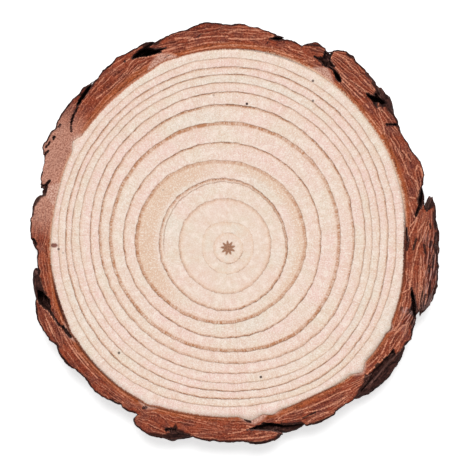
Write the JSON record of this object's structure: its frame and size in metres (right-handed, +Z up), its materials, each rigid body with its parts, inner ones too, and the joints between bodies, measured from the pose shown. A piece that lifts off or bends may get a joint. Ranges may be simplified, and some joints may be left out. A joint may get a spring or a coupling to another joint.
{
  "type": "wood slice",
  "caption": "Round slice sawn across a pine trunk, with growth rings on both flat faces and thick scaly bark with deep fissures round its edge.",
  "frame": {"origin": "centre of the slice's outline, on its lower sawn face", "axes": "+Z up, along the trunk and square to both sawn faces; +Y towards the picture's upper edge and +X towards its right edge"},
  "size_m": [0.1087, 0.1122, 0.012],
  "materials": {
    "wood": "sawn and sanded end grain, matt",
    "bark": "rough bark, matt"
  },
  "bodies": {
    "root": {"wood": "wood", "bark": "bark"}
  },
  "joints": []
}
